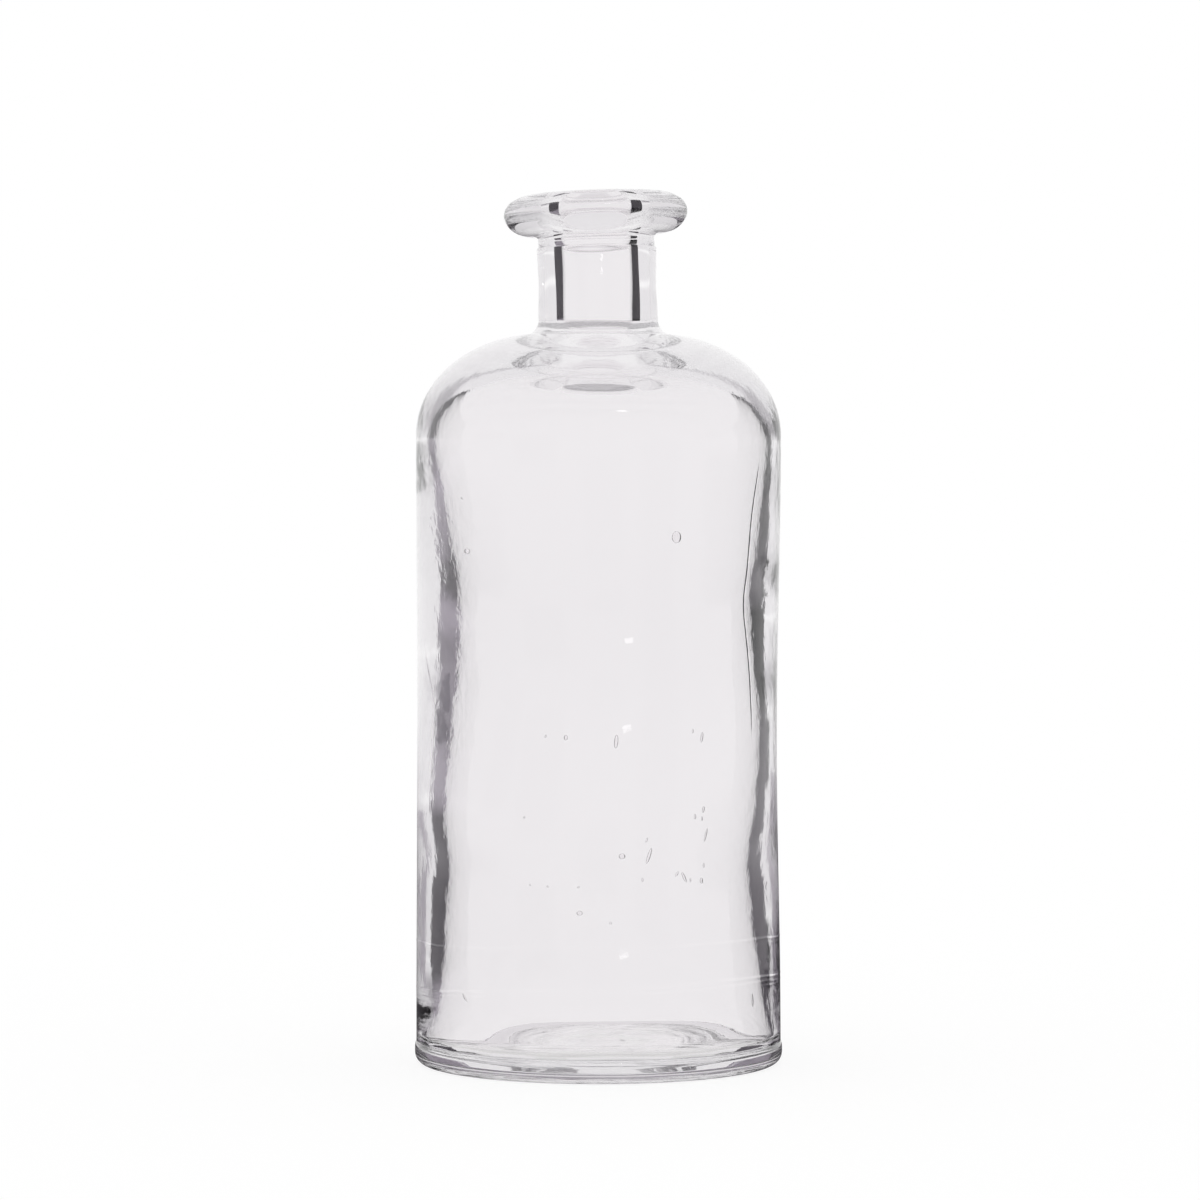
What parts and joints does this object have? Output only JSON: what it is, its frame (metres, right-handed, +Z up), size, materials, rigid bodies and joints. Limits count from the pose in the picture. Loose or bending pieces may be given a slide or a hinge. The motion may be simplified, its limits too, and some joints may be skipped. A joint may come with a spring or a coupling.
{
  "type": "glass bottle",
  "caption": "Tall round clear-glass bottle with a domed shoulder, short neck and rounded flange lip, open at the mouth, standing on a narrow ring.",
  "frame": {"origin": "on the bottle's axis, on the plane that its standing ring rests on", "axes": "+Z up along the bottle's axis, -Y towards the viewer of the picture, +X to the picture's right"},
  "size_m": [0.1008, 0.1008, 0.2385],
  "materials": {
    "clear_glass": "clear and glossy, with an uneven inner wall, faint mould lines and a few bubbles"
  },
  "bodies": {
    "root": {"glass_bottle": "clear_glass"}
  },
  "joints": []
}
